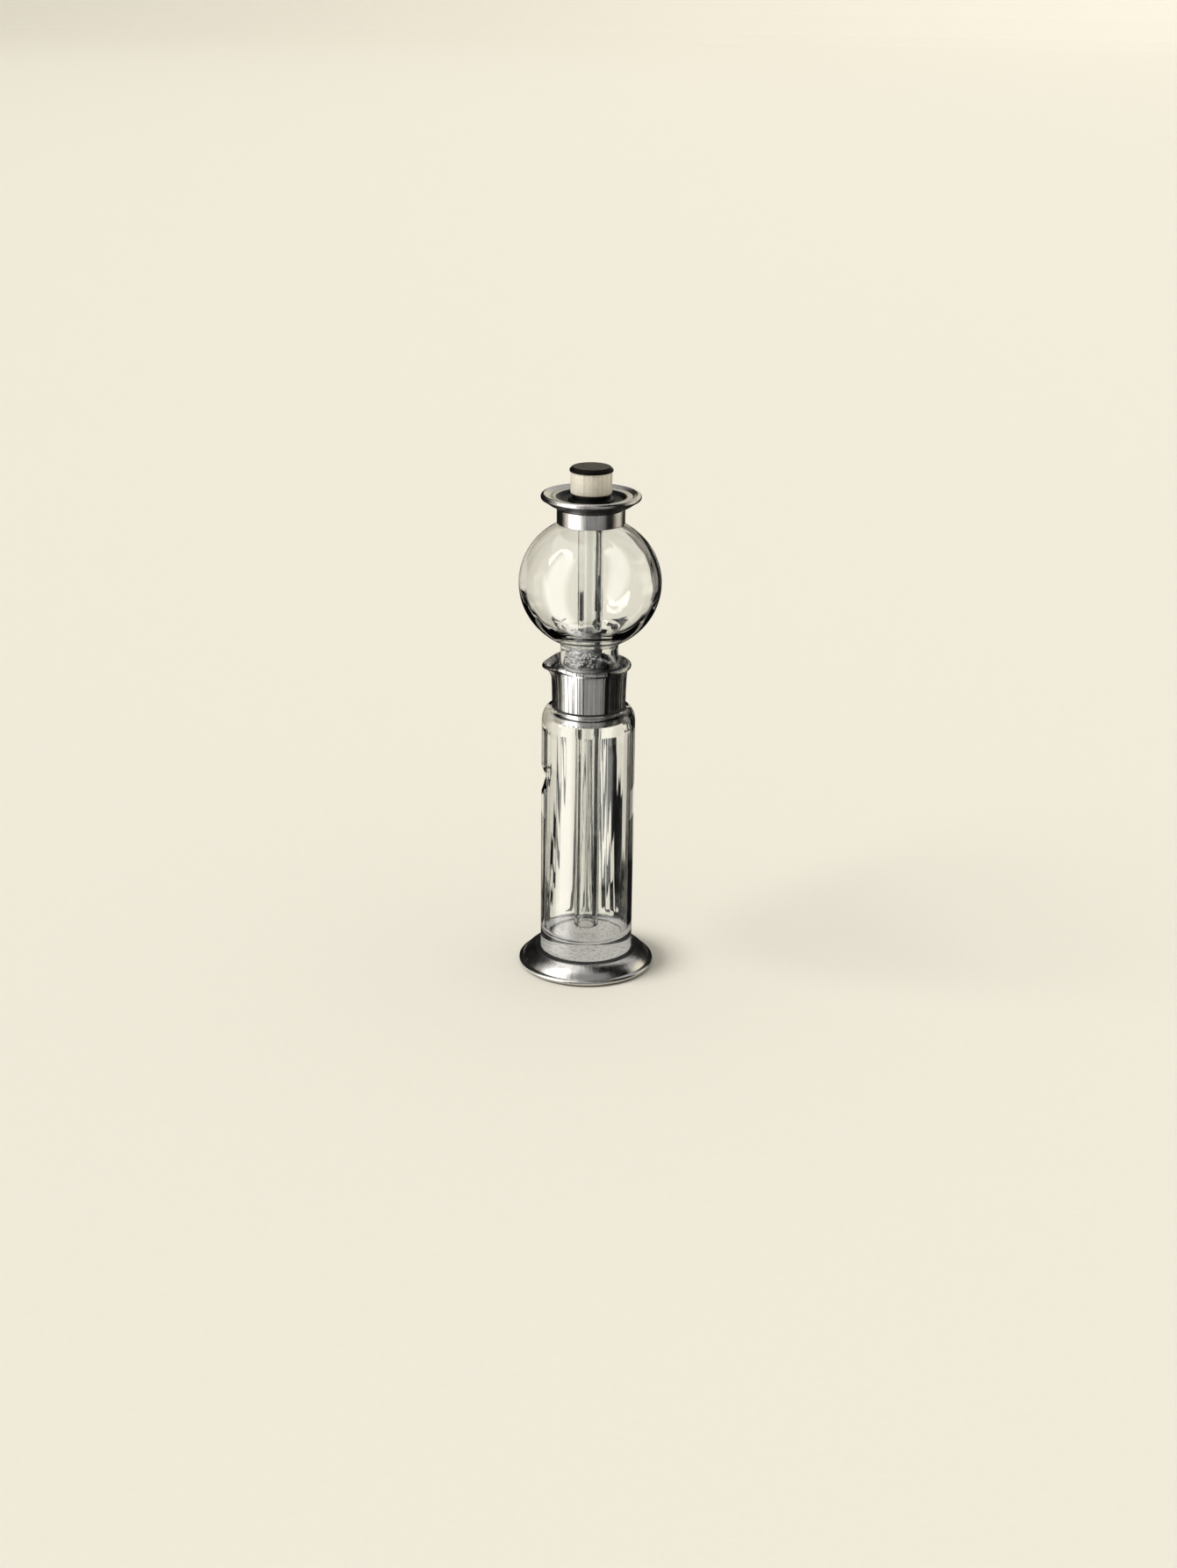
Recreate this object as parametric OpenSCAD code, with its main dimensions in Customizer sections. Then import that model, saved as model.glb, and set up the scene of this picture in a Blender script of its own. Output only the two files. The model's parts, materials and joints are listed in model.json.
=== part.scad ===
// Table-top gas apparatus: a glass column on a metal foot, a spouted metal
// cup in its mouth, a glass globe standing in the cup, a long glass tube
// down the middle, and a saucer cap closed by a stopper.
// Millimetres, +Z up, origin on the axis at the surface the foot stands on.

/* [Foot] */
// Diameter of the foot
foot_d = 74; // [70:0.5:80]
// Height of the foot's top face
foot_h = 9.5; // [9:0.5:12]
// Thickness of the baize under the foot
pad_t = 1.6; // [1.2:0.1:2]
// Depth of the socket that holds the column
socket_depth = 5; // [4:0.5:6]

/* [Column] */
// Outside diameter of the glass column
column_d = 50; // [49:0.5:52]
// Height of the column's mouth above the table
column_top = 148.3; // [140:0.1:160]
// Wall of the column
column_wall = 2.6; // [2.2:0.1:2.8]
// Thickness of the column's solid glass bottom
column_floor = 12; // [8:0.5:14]
// Bore of the ground mouth
mouth_d = 36; // [35.8:0.1:36.2]

/* [Side port] */
// Height of the port's middle above the table
port_z = 107.5; // [90:0.5:120]
// Height of the port on the outside of the wall
port_height = 15; // [12:0.5:18]
// Depth the port is ground into the side
port_depth = 3.1; // [3:0.05:3.3]

/* [Cup] */
// Height of the spouted cup above the column's mouth
cup_h = 24.3; // [23:0.1:26]
// Diameter of the cup where it meets the column
cup_foot_d = 39.1; // [38.8:0.1:40]
// Diameter over the rolled rim
cup_rim_d = 44.7; // [44:0.1:46]
// Reach of the pouring lip from the axis
lip_reach = 25.2; // [24.5:0.1:26]

/* [Globe] */
// Diameter of the globe
globe_d = 75; // [73:0.5:77]
// Height of the globe's flattened form
globe_tall = 70.6; // [69:0.1:72]
// Height of the globe's centre above the table
globe_z = 216.3; // [215.5:0.1:217]
// Diameter of the waist
waist_d = 30.6; // [30:0.1:31.4]
// Glass thickness of the globe
globe_wall = 2.2; // [1.8:0.1:2.4]
// Extra glass thickness at the bottom of the globe
globe_heel = 2.6; // [0:0.1:3]
// Diameter of the glass neck under the collar
neck_d = 32.8; // [32.4:0.1:33.2]

/* [Centre tube] */
// Outside diameter of the centre tube
tube_d = 13; // [12:0.1:13.4]
// Bore of the centre tube
tube_bore = 8.6; // [7:0.1:11]
// Height of the tube's open lower end above the table
tube_low = 22; // [20:0.5:30]

/* [Cap and stopper] */
// Diameter of the saucer over its bead
saucer_d = 52.5; // [51:0.1:54]
// Bore of the throat
throat_bore = 17.2; // [16.6:0.1:17.6]
// Diameter of the stopper's head
head_d = 21.6; // [21:0.1:22.4]
// Height of the stopper's head and its black top together
head_h = 14; // [12:0.1:16]

/* [Hidden] */
$fn = 96;

// Radial gap of a sliding fit, and of a piece pushed over another.
slide_fit = 0.05;
push_fit = 0.02;

// Foot: the metal stands just off the table, on its pad.
foot_r = foot_d / 2;
base_low = 0.6;
pad_r = foot_r - 4;
foot_bead_r = 1.35;
foot_rim_r = foot_r - 2;
foot_rim_z = 3.35;
foot_swell = 0.5;
socket_r = column_d / 2 + 3;
slope_top_r = socket_r + 0.8;
socket_z = foot_h - socket_depth;
bed_t = 1.5;
bedding_lip = 0.5;

// Column: levels and radii.
column_r = column_d / 2;
column_low = socket_z + bed_t;
column_inner_r = column_r - column_wall;
column_inner_low = column_low + column_floor;
mouth_r = mouth_d / 2;
lip_flat_r = mouth_r + 2.6;
shoulder_h = 8.3;
mouth_land = 3.5;
inner_shoulder_h = 8;
bottom_round = 1.5;
inner_round = 5;
port_flat_h = 7;
port_flat_rise = 0.6;

// Cup: its step stands on the gasket, its sleeve goes down in the mouth.
gasket_t = 0.7;
cup_low = column_top + gasket_t;
cup_top = column_top + cup_h;
cup_foot_r = cup_foot_d / 2;
cup_rim_r = cup_rim_d / 2;
cup_bead_r = 1.25;
cup_wall = 1.6;
sleeve_r = mouth_r - slide_fit;
sleeve_t = 0.9;
spigot_r = sleeve_r - sleeve_t - push_fit;
spigot_bore_r = spigot_r - 1;
spigot_low = column_top - 6.5;
lip_fall = 9.5;
lip_tip_r = 3.4;

// Bung: a tapered ring in the cup that grips the globe's lower spigot.
bung_low = cup_low + 3.6;
bung_top = cup_top - 2.9;
bung_taper = 0.05;
bung_low_r = cup_foot_r - cup_wall - 0.1;

// Globe: an ellipse of revolution, a hollow fillet into the waist, a flared
// base on the bung, and a spigot through the bung.
globe_r = globe_d / 2;
globe_c = globe_tall / 2;
waist_r = waist_d / 2;
neck_r = neck_d / 2;
fillet_meet_r = waist_r + 2.2;
flare_r = waist_r + 1.5;
flare_round = 1;
flare_low = bung_top + 0.1;
stem_spigot_r = 12.5;
stem_bore_r = stem_spigot_r - 1.9;
stem_low = bung_low - 2.6;
neck_top = globe_z + 40.1;

// Strainer and wool in the waist.
strainer_z = flare_low + 0.45;
strainer_t = 1.7;
strainer_holes = 12;
strainer_hole_r = 0.8;
strainer_pitch_r = 8.7;
wool_top = globe_z - 29.5;
tube_r = tube_d / 2;
tube_hole_r = tube_r + push_fit;

// Collar and bush on the neck.
collar_t = 0.8;
cement_t = 0.6;
cement_r = neck_r + cement_t;
collar_r = cement_r + collar_t;
collar_low = globe_z + 31.95;
bush_low = globe_z + 31.4;
bush_top = neck_top - 2.1;
neck_bore_r = neck_r - globe_wall;

// Cap: gasket on the neck, saucer on the gasket, throat through the saucer.
cap_gasket_t = 0.6;
saucer_low = neck_top + cap_gasket_t;
cap_spigot_low = bush_top + 0.3;
cap_spigot_r = neck_bore_r - 0.2;
saucer_r = saucer_d / 2;
saucer_bead_r = 1.55;
saucer_bead_z = saucer_low + 5.2;
well_r = 18;
well_floor = saucer_low + 3.5;
throat_r = 12;
throat_bore_r = throat_bore / 2;
throat_ring_r = throat_bore_r + 1.5;
throat_top = saucer_low + 7;

// Stopper: cork plug, pale head, black top, and the pin through plug and head.
plug_low = cap_spigot_low + 1.4;
head_r = head_d / 2;
black_t = 2.4;
black_r = head_r + 0.6;
black_low = throat_top + head_h - black_t;
pin_r = 1.6;
pin_low = plug_low + 3;

// Points along an elliptical arc, from angle a0 to a1 in degrees.
function arc(cx, cy, rx, ry, a0, a1, n = 12) =
    [for (i = [0:n]) let (a = a0 + (a1 - a0) * i / n) [cx + rx * cos(a), cy + ry * sin(a)]];

// Radius of the cup's outer wall at height z: straight at first, then flared.
function cup_r(z) = let (t = (z - cup_low) / (cup_top - cup_low))
    cup_foot_r + 0.5 * t + 1.1 * pow(t, 5);

// Eccentric angle at which an ellipse of half-width a has radius r.
function ellipse_angle(a, r) = acos(r / a);

// A washer or tube, by its two radii and two levels.
module ring(outer_r, inner_r, z0, z1) {
    translate([0, 0, z0])
        difference() {
            cylinder(r = outer_r, h = z1 - z0);
            translate([0, 0, -1])
                cylinder(r = inner_r, h = z1 - z0 + 2);
        }
}

// Slope of the foot: a line from the bedding down to the edge, swelled a little.
function foot_slope(steps) = [for (i = [0:steps]) let (
        t = i / steps,
        swell = 4 * foot_swell * t * (1 - t))
    [foot_rim_r + (slope_top_r - foot_rim_r) * t + swell,
     foot_rim_z + (foot_h - foot_rim_z) * t + swell]];

module foot() {
    color([0.74, 0.74, 0.72])
    rotate_extrude()
        polygon(concat(
            [[0, pad_t], [pad_r, pad_t], [pad_r, base_low]],
            arc(foot_r - foot_bead_r, base_low + foot_bead_r, foot_bead_r, foot_bead_r, -90, 70, 10),
            foot_slope(10),
            [[socket_r, foot_h], [socket_r, socket_z], [0, socket_z]]));
}

module foot_pad() {
    color([0.12, 0.22, 0.14])
    cylinder(r = pad_r, h = pad_t);
}

module plaster_bed() {
    color([0.86, 0.84, 0.77])
    translate([0, 0, socket_z])
        cylinder(r = column_r, h = bed_t);
}

module bedding_ring() {
    color([0.03, 0.03, 0.03])
    rotate_extrude()
        polygon([[column_r, socket_z], [socket_r, socket_z], [socket_r, foot_h],
                 [(column_r + socket_r) / 2, foot_h + bedding_lip * 0.6], [column_r, foot_h + bedding_lip]]);
}

// Section of the column's glass, mouth and thick bottom included.
module column_section() {
    polygon(concat(
        [[0, column_low]],
        arc(column_r - bottom_round, column_low + bottom_round, bottom_round, bottom_round, -90, 0, 4),
        arc(lip_flat_r, column_top - shoulder_h, column_r - lip_flat_r, shoulder_h, 0, 90, 14),
        [[mouth_r + 0.5, column_top], [mouth_r, column_top - 0.5],
         [mouth_r, column_top - mouth_land]],
        arc(mouth_r, column_top - mouth_land - inner_shoulder_h,
            column_inner_r - mouth_r, inner_shoulder_h, 90, 0, 10),
        arc(column_inner_r - inner_round, column_inner_low + inner_round,
            inner_round, inner_round, 0, -90, 8),
        [[0, column_inner_low]]));
}

// The port: a flat-bottomed notch ground across the -X side, steep above
// and sloped below, that breaks through the wall.
module port_cut() {
    reach = 2;
    slope = (port_height / 2 - port_flat_h / 2) / port_depth;
    flat_mid = port_z + port_flat_rise;
    translate([0, column_r, 0])
        rotate([90, 0, 0])
            linear_extrude(2 * column_r)
                polygon([
                    [-column_r - reach, port_z - port_height / 2 - slope * reach],
                    [-column_r + port_depth, flat_mid - port_flat_h / 2],
                    [-column_r + port_depth, flat_mid + port_flat_h / 2],
                    [-column_r - reach, port_z + port_height / 2 + slope * reach]]);
}

module column() {
    color([0.80, 0.87, 0.84])
    difference() {
        rotate_extrude()
            column_section();
        port_cut();
    }
}

module mouth_gasket() {
    color([0.05, 0.05, 0.05])
    ring(cup_foot_r + 0.35, mouth_r + 0.3, column_top, cup_low);
}

module cup_sleeve() {
    color([0.74, 0.74, 0.72])
    ring(sleeve_r, sleeve_r - sleeve_t, spigot_low + 1, cup_low - gasket_t);
}

// Section of the cup without its pouring lip.
module cup_section() {
    wall_steps = 8;
    outer_top = cup_top - 1.6;
    inner_low = bung_low - 0.4;
    polygon(concat(
        [[spigot_bore_r, spigot_low], [sleeve_r - 0.1, spigot_low],
         [sleeve_r - 0.1, spigot_low + 1], [spigot_r, spigot_low + 1], [spigot_r, cup_low],
         [cup_foot_r, cup_low]],
        [for (i = [1:wall_steps])
            let (z = cup_low + (outer_top - cup_low) * i / wall_steps) [cup_r(z), z]],
        arc(cup_rim_r - cup_bead_r, cup_top - cup_bead_r, cup_bead_r, cup_bead_r, -60, 120, 12),
        [[bung_r(cup_top - 2.4) + 0.1, cup_top - 2.4],
         [bung_r(inner_low) + slide_fit, inner_low],
         [spigot_bore_r, inner_low - 1.2]]));
}

// Radius of the bung at height z.
function bung_r(z) = bung_low_r - slide_fit + bung_taper * (z - bung_low);

// The pouring lip on the -X side, swept from the wall up to its tip.
module lip_form(shrink) {
    tip_x = -(lip_reach - lip_tip_r);
    hull() {
        translate([tip_x, 0, cup_top - 2.2])
            cylinder(r = lip_tip_r - shrink, h = 2.2 + shrink, $fn = 32);
        translate([0, 0, cup_top - 2.2])
            cylinder(r = cup_rim_r - cup_bead_r - shrink, h = 1.4 + shrink, $fn = 64);
        translate([0, 0, cup_top - lip_fall])
            cylinder(r = cup_foot_r + 0.2 - shrink, h = 0.5, $fn = 64);
    }
}

module neck_cup() {
    color([0.74, 0.74, 0.72])
    difference() {
        union() {
            rotate_extrude()
                cup_section();
            difference() {
                lip_form(0);
                translate([0, 0, cup_top - lip_fall - 1])
                    cylinder(r = cup_foot_r - 0.4, h = lip_fall + 2);
                translate([0, -cup_rim_r - 5, cup_top - lip_fall - 1])
                    cube([2 * cup_rim_r, 2 * cup_rim_r + 10, lip_fall + 5]);
            }
        }
        difference() {
            lip_form(cup_wall);
            translate([0, 0, cup_top - lip_fall - 1])
                cylinder(r = bung_r(bung_top) + 0.3, h = lip_fall + 2);
            translate([0, -cup_rim_r - 5, cup_top - lip_fall - 1])
                cube([2 * cup_rim_r, 2 * cup_rim_r + 10, lip_fall + 5]);
        }
    }
}

module bung() {
    color([0.16, 0.15, 0.15])
    rotate_extrude()
        polygon([[stem_spigot_r + push_fit, bung_low], [bung_r(bung_low), bung_low],
                 [bung_r(bung_top), bung_top], [stem_spigot_r + push_fit, bung_top]]);
}

// Outline of the globe's outer skin, from its flared base up to the neck.
// The fillet's circle touches both the ellipse and the waist.
function fillet_r() = let (
        z0 = globe_c * sin(ellipse_angle(globe_r, fillet_meet_r)),
        n = [fillet_meet_r / pow(globe_r, 2), z0 / pow(globe_c, 2)])
    (fillet_meet_r - waist_r) / (1 - n[0] / norm(n));
function fillet_z() = let (
        z0 = globe_c * sin(ellipse_angle(globe_r, fillet_meet_r)),
        n = [fillet_meet_r / pow(globe_r, 2), z0 / pow(globe_c, 2)])
    globe_z - z0 - fillet_r() * n[1] / norm(n);
function fillet_end() = atan2(
    globe_z - globe_c * sin(ellipse_angle(globe_r, fillet_meet_r)) - fillet_z(),
    fillet_meet_r - waist_r - fillet_r());

// A skin lies inset within the glass, and heel higher over the globe's bottom.
function skin(inset, heel, top_r) = let (
        base_z = flare_low + flare_round,
        waist_z = fillet_z(),
        meet = ellipse_angle(globe_r, fillet_meet_r),
        upper = arc(0, globe_z, globe_r - inset, globe_c - inset, 0,
                    ellipse_angle(globe_r - inset, top_r), 24))
    concat(
        [for (i = [0:7]) let (t = i / 8)
            [waist_r - inset + (flare_r - waist_r) * pow(1 - t, 2), base_z + (waist_z - base_z) * t]],
        arc(waist_r + fillet_r(), waist_z, fillet_r() + inset, fillet_r() + inset + heel,
            180, fillet_end(), 8),
        arc(0, globe_z, globe_r - inset, globe_c - inset - heel, -meet + 1.5, 0, 22),
        [for (i = [1:len(upper) - 1]) upper[i]]);

function reversed(list) = [for (i = [len(list) - 1:-1:0]) list[i]];

module globe() {
    color([0.82, 0.88, 0.86])
    rotate_extrude()
        polygon(concat(
            [[stem_bore_r, stem_low + 0.5], [stem_bore_r + 0.5, stem_low],
             [stem_spigot_r - 0.5, stem_low], [stem_spigot_r, stem_low + 0.5],
             [stem_spigot_r, flare_low], [flare_r - flare_round, flare_low]],
            arc(flare_r - flare_round, flare_low + flare_round, flare_round, flare_round, -75, -15, 4),
            skin(0, 0, neck_r),
            [[neck_r, neck_top - 0.4], [neck_r - 0.4, neck_top],
             [neck_bore_r + 0.4, neck_top], [neck_bore_r, neck_top - 0.4]],
            reversed(skin(globe_wall, globe_heel, neck_bore_r)),
            [[waist_r - globe_wall, flare_low + flare_round - 0.4],
             [waist_r - globe_wall, flare_low + 0.4], [stem_bore_r, flare_low - 0.8]]));
}

module strainer_disc() {
    color([0.93, 0.92, 0.88])
    difference() {
        ring(waist_r - globe_wall - 0.1, tube_hole_r, strainer_z, strainer_z + strainer_t);
        for (i = [0:strainer_holes - 1])
            rotate([0, 0, 360 * (i + 0.5) / strainer_holes])
                translate([strainer_pitch_r, 0, strainer_z - 1])
                    cylinder(r = strainer_hole_r, h = strainer_t + 2);
    }
}

module glass_wool() {
    wool_r = waist_r - globe_wall - 0.1;
    wool_low = strainer_z + strainer_t;
    waist_z = fillet_z();
    color([0.96, 0.96, 0.94])
    rotate_extrude()
        polygon(concat(
            [[tube_hole_r, wool_low], [wool_r, wool_low]],
            arc(tube_hole_r, waist_z, wool_r - tube_hole_r, wool_top - waist_z, 0, 90, 8)));
}

module centre_tube() {
    color([0.84, 0.90, 0.88])
    rotate_extrude()
        polygon([
            [tube_bore / 2 + 0.3, tube_low], [tube_r - 0.3, tube_low], [tube_r, tube_low + 0.3],
            [tube_r, bush_top - 0.3], [tube_r - 0.3, bush_top], [tube_bore / 2 + 0.3, bush_top],
            [tube_bore / 2, bush_top - 0.3], [tube_bore / 2, tube_low + 0.3]]);
}

module neck_bush() {
    bush_r = neck_bore_r - 0.05;
    color([0.68, 0.48, 0.29])
    rotate_extrude()
        polygon([
            [tube_hole_r, bush_low], [bush_r - 0.5, bush_low], [bush_r, bush_low + 0.5],
            [bush_r, bush_top], [tube_hole_r, bush_top]]);
}

module collar_cement() {
    color([0.62, 0.58, 0.50])
    ring(cement_r, neck_r, collar_low + 0.2, neck_top - 0.3);
}

module collar() {
    color([0.76, 0.75, 0.72])
    rotate_extrude()
        polygon([
            [cement_r, collar_low], [collar_r - 0.2, collar_low], [collar_r, collar_low + 0.2],
            [collar_r, neck_top - 0.3], [collar_r - 0.3, neck_top], [cement_r, neck_top]]);
}

module cap_gasket() {
    color([0.05, 0.05, 0.05])
    ring(collar_r - 0.3, neck_bore_r, neck_top, saucer_low);
}

module saucer() {
    bead_x = saucer_r - saucer_bead_r;
    color([0.76, 0.75, 0.72])
    rotate_extrude()
        polygon(concat(
            [[throat_r, cap_spigot_low], [cap_spigot_r - 0.4, cap_spigot_low],
             [cap_spigot_r, cap_spigot_low + 0.4], [cap_spigot_r, saucer_low],
             [saucer_r - 7.2, saucer_low], [saucer_r - 6.6, saucer_low + 0.3],
             [saucer_r - 4.6, saucer_low + 1.35], [saucer_r - 2.9, saucer_low + 2.55]],
            arc(bead_x, saucer_bead_z, saucer_bead_r, saucer_bead_r, -80, 130, 14),
            [[well_r + 4, saucer_low + 5.75], [well_r + 3.6, saucer_low + 5.5],
             [well_r + 1.2, saucer_low + 5.4], [well_r, saucer_low + 5.1],
             [well_r - 1.6, well_floor + 0.25], [throat_r, well_floor]]));
}

module throat() {
    color([0.76, 0.75, 0.72])
    rotate_extrude()
        polygon([
            [throat_bore_r, cap_spigot_low], [throat_r, cap_spigot_low],
            [throat_r, well_floor + 0.5], [throat_r - 0.5, well_floor + 1],
            [throat_ring_r, well_floor + 1.1], [throat_ring_r, throat_top - 0.4],
            [throat_ring_r - 0.4, throat_top], [throat_bore_r + 0.3, throat_top],
            [throat_bore_r, throat_top - 0.3]]);
}

module stopper_plug() {
    plug_r = throat_bore_r - slide_fit;
    color([0.72, 0.53, 0.33])
    rotate_extrude()
        polygon([
            [0, plug_low], [plug_r - 0.7, plug_low], [plug_r - 0.3, plug_low + 0.5],
            [plug_r, throat_top - 4], [plug_r, throat_top], [pin_r, throat_top],
            [pin_r, pin_low], [0, pin_low]]);
}

module stopper_pin() {
    color([0.78, 0.62, 0.32])
    translate([0, 0, pin_low])
        cylinder(r = pin_r, h = black_low - pin_low);
}

module stopper_head() {
    edge = 0.7;
    color([0.88, 0.80, 0.64])
    rotate_extrude()
        polygon(concat(
            [[pin_r, throat_top]],
            arc(head_r - edge, throat_top + edge, edge, edge, -90, 0, 5),
            [[head_r, black_low], [pin_r, black_low]]));
}

module stopper_cap() {
    chamfer = 1.4;
    color([0.04, 0.04, 0.04])
    rotate_extrude()
        polygon([
            [0, black_low], [black_r, black_low], [black_r, black_low + black_t - chamfer],
            [black_r - chamfer, black_low + black_t], [0, black_low + black_t]]);
}

foot();
foot_pad();
plaster_bed();
bedding_ring();
column();
mouth_gasket();
cup_sleeve();
neck_cup();
bung();
globe();
strainer_disc();
glass_wool();
centre_tube();
neck_bush();
collar_cement();
collar();
cap_gasket();
saucer();
throat();
stopper_plug();
stopper_pin();
stopper_head();
stopper_cap();
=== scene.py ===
"""The looks of a table-top glass gas apparatus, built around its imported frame."""
import json
import math
import random

import bmesh
import bpy
from mathutils import Matrix, Vector, noise


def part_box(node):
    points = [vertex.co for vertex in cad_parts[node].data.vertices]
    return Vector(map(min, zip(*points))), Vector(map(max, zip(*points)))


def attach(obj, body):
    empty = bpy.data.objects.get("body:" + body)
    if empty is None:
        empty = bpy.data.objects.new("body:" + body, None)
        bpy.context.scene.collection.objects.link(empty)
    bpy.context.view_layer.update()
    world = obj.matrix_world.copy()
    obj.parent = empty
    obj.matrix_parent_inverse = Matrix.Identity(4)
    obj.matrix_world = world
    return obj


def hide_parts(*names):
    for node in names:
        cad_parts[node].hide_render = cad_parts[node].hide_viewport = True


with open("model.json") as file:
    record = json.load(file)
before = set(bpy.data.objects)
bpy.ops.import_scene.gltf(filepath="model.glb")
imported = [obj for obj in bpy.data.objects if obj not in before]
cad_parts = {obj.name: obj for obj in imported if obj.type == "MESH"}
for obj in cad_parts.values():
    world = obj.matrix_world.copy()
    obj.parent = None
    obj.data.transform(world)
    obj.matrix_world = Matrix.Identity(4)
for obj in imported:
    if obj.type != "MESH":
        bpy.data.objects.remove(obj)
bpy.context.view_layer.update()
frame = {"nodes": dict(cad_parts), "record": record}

MM = 0.001
TURN = 2 * math.pi


# ---------------------------------------------------------------- outlines

def outline_of(node):
    """The outline of a turned CAD node, read off its mesh in the plane y = 0: (r, z) points in metres."""
    mesh = frame["nodes"][node].data
    spot = {}
    for v in mesh.vertices:
        if abs(v.co.y) < 1e-6 and v.co.x > -1e-6:
            spot[v.index] = (round(v.co.x, 6), round(v.co.z, 6))
    joined = {}
    for e in mesh.edges:
        a, b = (spot.get(i) for i in e.vertices)
        if a is not None and b is not None and a != b:
            joined.setdefault(a, set()).add(b)
            joined.setdefault(b, set()).add(a)
    ends = sorted(p for p, near in joined.items() if len(near) == 1)
    start = min(ends, key=lambda p: p[1]) if ends else min(joined, key=lambda p: (p[1], -p[0]))
    path = [start]
    last = None
    here = start
    while True:
        onward = sorted((p for p in joined[here] if p != last), key=lambda p: (-p[0], p[1]))
        if not onward or onward[0] == start:
            break
        last, here = here, onward[0]
        path.append(here)
    if ends:
        path = [(0.0, path[0][1])] * (path[0][0] > 0) + path + [(0.0, path[-1][1])] * (path[-1][0] > 0)
    return path, not ends


def rounded(path, closed, radius, sharp=25.0, steps=4):
    """The outline with each corner sharper than sharp degrees eased to a small curve."""
    if radius <= 0:
        return path
    count = len(path)
    out = []
    for i, p in enumerate(path):
        if not closed and i in (0, count - 1):
            out.append(p)
            continue
        here = Vector(p)
        before = Vector(path[i - 1]) - here
        after = Vector(path[(i + 1) % count]) - here
        turn = 180 - math.degrees(before.angle(after))
        if turn < sharp or here.x < 1e-7:
            out.append(p)
            continue
        reach = min(radius, before.length * 0.45, after.length * 0.45)
        a = here + before.normalized() * reach
        b = here + after.normalized() * reach
        for k in range(steps + 1):
            t = k / steps
            out.append(tuple(a * (1 - t) ** 2 + here * 2 * t * (1 - t) + b * t * t))
    return out


def refined(path, closed, longest, sharp=20.0):
    """The outline with its curved stretches made smooth, and no stretch longer than asked."""
    count = len(path)
    stretches = count if closed else count - 1
    pts = [Vector(p) for p in path]

    def corner(i):
        if not closed and i % count in (0, count - 1):
            return True
        before = pts[i % count] - pts[(i - 1) % count]
        after = pts[(i + 1) % count] - pts[i % count]
        return math.degrees(before.angle(after)) > sharp

    out = []
    for i in range(stretches):
        a, b = pts[i], pts[(i + 1) % count]
        gap = (b - a).length
        steps = max(1, math.ceil(gap / longest))
        lead = tail = b - a
        if not corner(i):
            chord = b - pts[(i - 1) % count]
            lead = chord * (gap / chord.length)
        if not corner(i + 1):
            chord = pts[(i + 2) % count] - a
            tail = chord * (gap / chord.length)
        for k in range(steps):
            t = k / steps
            out.append(tuple(
                a * (2 * t ** 3 - 3 * t ** 2 + 1) + lead * (t ** 3 - 2 * t ** 2 + t)
                + b * (3 * t ** 2 - 2 * t ** 3) + tail * (t ** 3 - t ** 2)))
    if not closed:
        out.append(tuple(pts[-1]))
    return out


# ---------------------------------------------------------------- meshes

def finish_mesh(name, mesh, material, sharp=32.0):
    """Outward normals, smooth shading with true corners kept, and a material."""
    bm = bmesh.new()
    bm.from_mesh(mesh)
    bmesh.ops.remove_doubles(bm, verts=bm.verts, dist=1e-7)
    bmesh.ops.recalc_face_normals(bm, faces=bm.faces)
    for f in bm.faces:
        f.smooth = True
    limit = math.radians(sharp)
    for e in bm.edges:
        e.smooth = len(e.link_faces) == 2 and e.calc_face_angle(0) < limit
    bm.to_mesh(mesh)
    bm.free()
    mesh.materials.clear()
    mesh.materials.append(material)
    obj = bpy.data.objects.new(name, mesh)
    bpy.context.scene.collection.objects.link(obj)
    return obj


def lathe_mesh(name, path, closed, segments, shape=None):
    """A mesh turned from an outline. shape(r, z, angle) may move each point a little, but not on the axis."""
    verts = []
    faces = []
    count = len(path)
    for s in range(segments):
        angle = TURN * s / segments
        for r, z in path:
            rr, zz = shape(r, z, angle) if shape and r > 1e-7 else (r, z)
            verts.append((rr * math.cos(angle), rr * math.sin(angle), zz))
    for s in range(segments):
        base = s * count
        onto = ((s + 1) % segments) * count
        for i in range(count if closed else count - 1):
            j = (i + 1) % count
            faces.append((base + i, onto + i, onto + j, base + j))
    mesh = bpy.data.meshes.new(name)
    mesh.from_pydata(verts, [], faces)
    bm = bmesh.new()
    bm.from_mesh(mesh)
    bmesh.ops.remove_doubles(bm, verts=bm.verts, dist=1e-8)
    bmesh.ops.dissolve_degenerate(bm, dist=1e-8, edges=bm.edges)
    bm.to_mesh(mesh)
    bm.free()
    return mesh


BODY_OF = {node: body for body, nodes in frame["record"]["behaviour"]["bodies"].items() for node in nodes}


def stands_for(obj, node):
    """Gives a piece the body of the CAD node that it replaces, and hides that node."""
    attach(obj, BODY_OF[node])
    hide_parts(node)
    return obj


def turned(node, material, ease, longest=1.2 * MM, segments=160):
    """Replaces a turned CAD node by a finer piece of the same outline with eased corners."""
    path, closed = outline_of(node)
    path = rounded(refined(path, closed, longest), closed, ease)
    mesh = lathe_mesh(node + "_turned", path, closed, segments)
    return stands_for(finish_mesh(node + "_turned", mesh, material), node)


# ---------------------------------------------------------------- materials

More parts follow.
